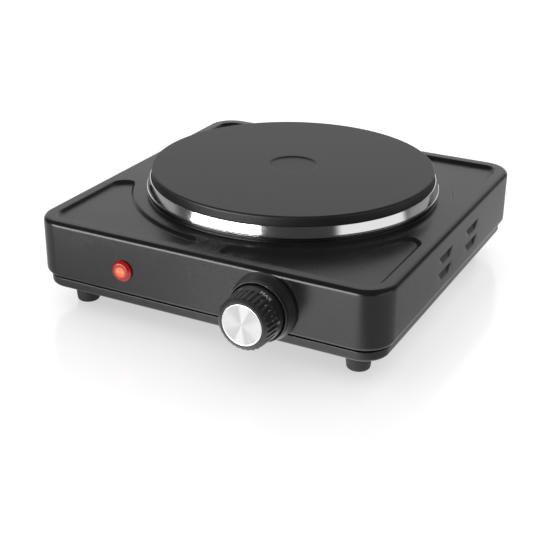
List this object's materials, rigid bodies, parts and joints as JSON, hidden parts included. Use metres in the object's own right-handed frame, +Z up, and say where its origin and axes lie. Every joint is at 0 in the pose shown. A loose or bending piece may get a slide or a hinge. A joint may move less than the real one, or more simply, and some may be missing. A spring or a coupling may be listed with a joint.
{
  "type": "electric hot plate",
  "caption": "Table-top electric hot plate: square black steel housing, round cast-iron plate in a bright ring, fluted heat knob and red pilot lamp on the front, rubber feet.",
  "frame": {"origin": "centre of the whole object's box, on the surface that the feet stand on", "axes": "+Z up, the front with the knob and the lamp faces -Y, right is +X"},
  "size_m": [0.2346, 0.2716, 0.0757],
  "materials": {
    "housing_paint": "satin black heat-resistant paint on drawn steel",
    "tray_paint": "satin black paint",
    "cast_iron": "matte black coated, fine turned grain",
    "stainless": "bright rolled",
    "knob_plastic": "satin moulded",
    "inner_plastic": "matte moulded",
    "spun_aluminium": "fine concentric spun",
    "foot_rubber": "matte moulded",
    "red_lens": "translucent, polished",
    "neon_glass": "clear",
    "zinc_steel": "zinc plated",
    "ceramic": "unglazed",
    "brass": "plain",
    "lead_sleeving": "woven glass sleeve"
  },
  "bodies": {
    "base": {"housing_shell": "housing_paint", "base_tray": "tray_paint", "cast_iron_plate": "cast_iron", "trim_ring": "stainless", "heat_shield": "stainless", "bimetal_strip": "stainless", "thermal_fuse": "stainless", "knob_bezel": "knob_plastic", "cord_gland": "inner_plastic", "cord_saddle": "inner_plastic", "cord_clamp": "inner_plastic", "pilot_body": "inner_plastic", "foot_front_left": "foot_rubber", "foot_front_right": "foot_rubber", "foot_rear_left": "foot_rubber", "foot_rear_right": "foot_rubber", "pilot_lens": "red_lens", "pilot_neon": "neon_glass", "heating_element": "zinc_steel", "element_cover": "zinc_steel", "plate_stud": "zinc_steel", "stud_sleeve": "zinc_steel", "clamp_nut": "zinc_steel", "clamp_bridge": "zinc_steel", "terminal_tab_left": "zinc_steel", "terminal_tab_right": "zinc_steel", "thermostat_bracket": "zinc_steel", "bracket_screw_left": "zinc_steel", "bracket_screw_right": "zinc_steel", "pilot_clip": "zinc_steel", "clamp_screw_left": "zinc_steel", "clamp_screw_right": "zinc_steel", "fuse_clip": "zinc_steel", "corner_bracket_front_left": "zinc_steel", "corner_bracket_front_right": "zinc_steel", "corner_bracket_rear_left": "zinc_steel", "corner_bracket_rear_right": "zinc_steel", "foot_screw_front_left": "zinc_steel", "foot_screw_front_right": "zinc_steel", "foot_screw_rear_left": "zinc_steel", "foot_screw_rear_right": "zinc_steel", "plate_terminal_block": "ceramic", "thermostat_body": "ceramic", "mains_block": "ceramic", "thermostat_bush": "brass", "contact_leaf": "brass", "stack_rivet": "brass", "earth_tag": "brass", "earth_screw": "brass", "lead_live": "lead_sleeving", "lead_neutral": "lead_sleeving", "lead_element": "lead_sleeving", "lead_thermostat": "lead_sleeving", "lead_pilot": "lead_sleeving", "lead_earth": "lead_sleeving"},
    "knob": {"knob_body": "knob_plastic", "knob_cap": "spun_aluminium", "knob_spring": "zinc_steel", "thermostat_shaft": "brass"},
    "adjuster": {"adjuster_pin": "ceramic"}
  },
  "joints": [
    {"name": "knob_turn", "type": "hinge", "parent": "base", "child": "knob", "pos_m": [0.0453, -0.1082, 0.03765], "axis": [0, 1, 0], "range_deg": [-12, 288]},
    {"name": "adjuster_slide", "type": "slide", "parent": "base", "child": "adjuster", "axis": [0, -1, 0], "range_m": [-0.00005, 0.001]}
  ],
  "couplings": [
    {"joint": "adjuster_slide", "follows": "knob_turn", "m_per_rad": 0.00019}
  ]
}
